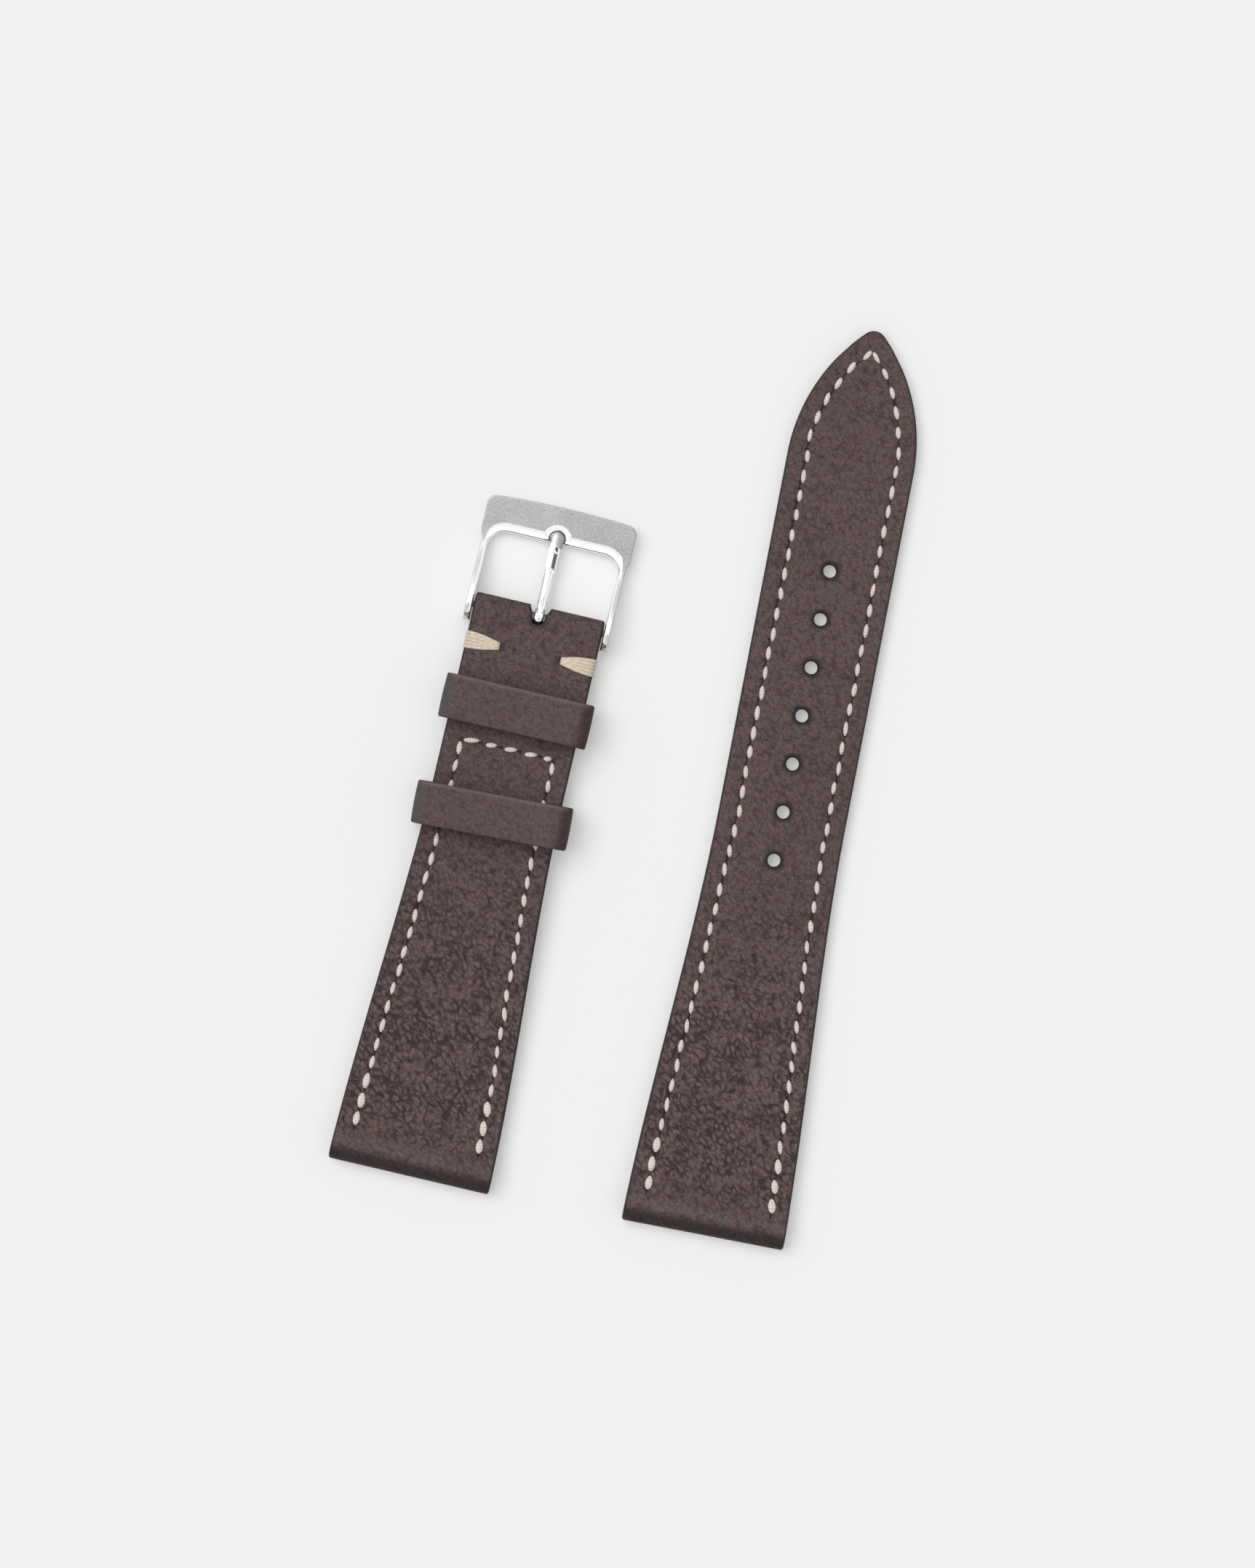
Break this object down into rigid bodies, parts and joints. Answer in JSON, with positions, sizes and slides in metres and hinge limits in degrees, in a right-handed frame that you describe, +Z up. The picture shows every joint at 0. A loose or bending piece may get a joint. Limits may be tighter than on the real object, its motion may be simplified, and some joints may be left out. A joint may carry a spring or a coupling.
{
  "type": "watch strap",
  "caption": "Leather watch strap in halves: one with a pin buckle, a fixed keeper and a sliding keeper, the other pointed, with adjusting holes.",
  "frame": {"origin": "middle of the buckle half's tunnel for the watch's spring bar, on the tunnel's axis", "axes": "+X along the tunnel to the right seen from above, +Y along the buckle half from the lug end to its buckle, +Z up from the table the strap lies on"},
  "size_m": [0.0561, 0.1126, 0.0067],
  "materials": {
    "top_leather": "fine pebbled grain, matt, dark painted edges",
    "keeper_leather": "fine pebbled grain, matt",
    "lining_leather": "smooth, matt",
    "filler_board": "edge painted dark",
    "thread": "waxed thread",
    "linen_thread": "dry linen thread",
    "satin_steel": "satin plate with polished bevels",
    "polished_steel": "polished",
    "bar_steel": "turned"
  },
  "bodies": {
    "strap": {"buckle_side_top_leather": "top_leather", "buckle_side_filler": "filler_board", "buckle_side_lining": "lining_leather", "buckle_side_stitching": "thread", "bar_tack_left": "linen_thread", "bar_tack_right": "linen_thread", "fixed_keeper": "keeper_leather", "spring_bar_barrel": "bar_steel", "spring_bar_spring": "bar_steel"},
    "buckle": {"buckle_frame": "satin_steel"},
    "tongue": {"buckle_tongue": "polished_steel"},
    "sliding_keeper": {"free_keeper": "keeper_leather"},
    "plunger_left": {"spring_bar_plunger_left": "bar_steel"},
    "plunger_right": {"spring_bar_plunger_right": "bar_steel"},
    "tail": {"tail_top_leather": "top_leather", "tail_filler": "filler_board", "tail_lining": "lining_leather", "tail_stitching": "thread"}
  },
  "joints": [
    {"name": "buckle_swing", "type": "hinge", "parent": "strap", "child": "buckle", "pos_m": [0, 0.0676, 0.0005], "axis": [1, 0, 0], "range_deg": [-90, 20]},
    {"name": "tongue_swing", "type": "hinge", "parent": "buckle", "child": "tongue", "pos_m": [0, 0.0676, 0.0005], "axis": [1, 0, 0], "range_deg": [0, 80]},
    {"name": "keeper_slide", "type": "slide", "parent": "strap", "child": "sliding_keeper", "axis": [0, 1, 0], "range_m": [-0.006, 0.0069]},
    {"name": "plunger_left_press", "type": "slide", "parent": "strap", "child": "plunger_left", "axis": [1, 0, 0], "range_m": [0, 0.00065], "stiffness_N_per_m": 40, "springref_m": -0.002, "deforming": ["spring_bar_spring"]},
    {"name": "plunger_right_press", "type": "slide", "parent": "strap", "child": "plunger_right", "axis": [-1, 0, 0], "range_m": [0, 0.00065], "stiffness_N_per_m": 40, "springref_m": -0.002, "deforming": ["spring_bar_spring"]},
    {"name": "tail_lift", "type": "slide", "parent": "strap", "child": "tail", "axis": [0, 0, 1], "range_m": [0, 0.03]}
  ]
}
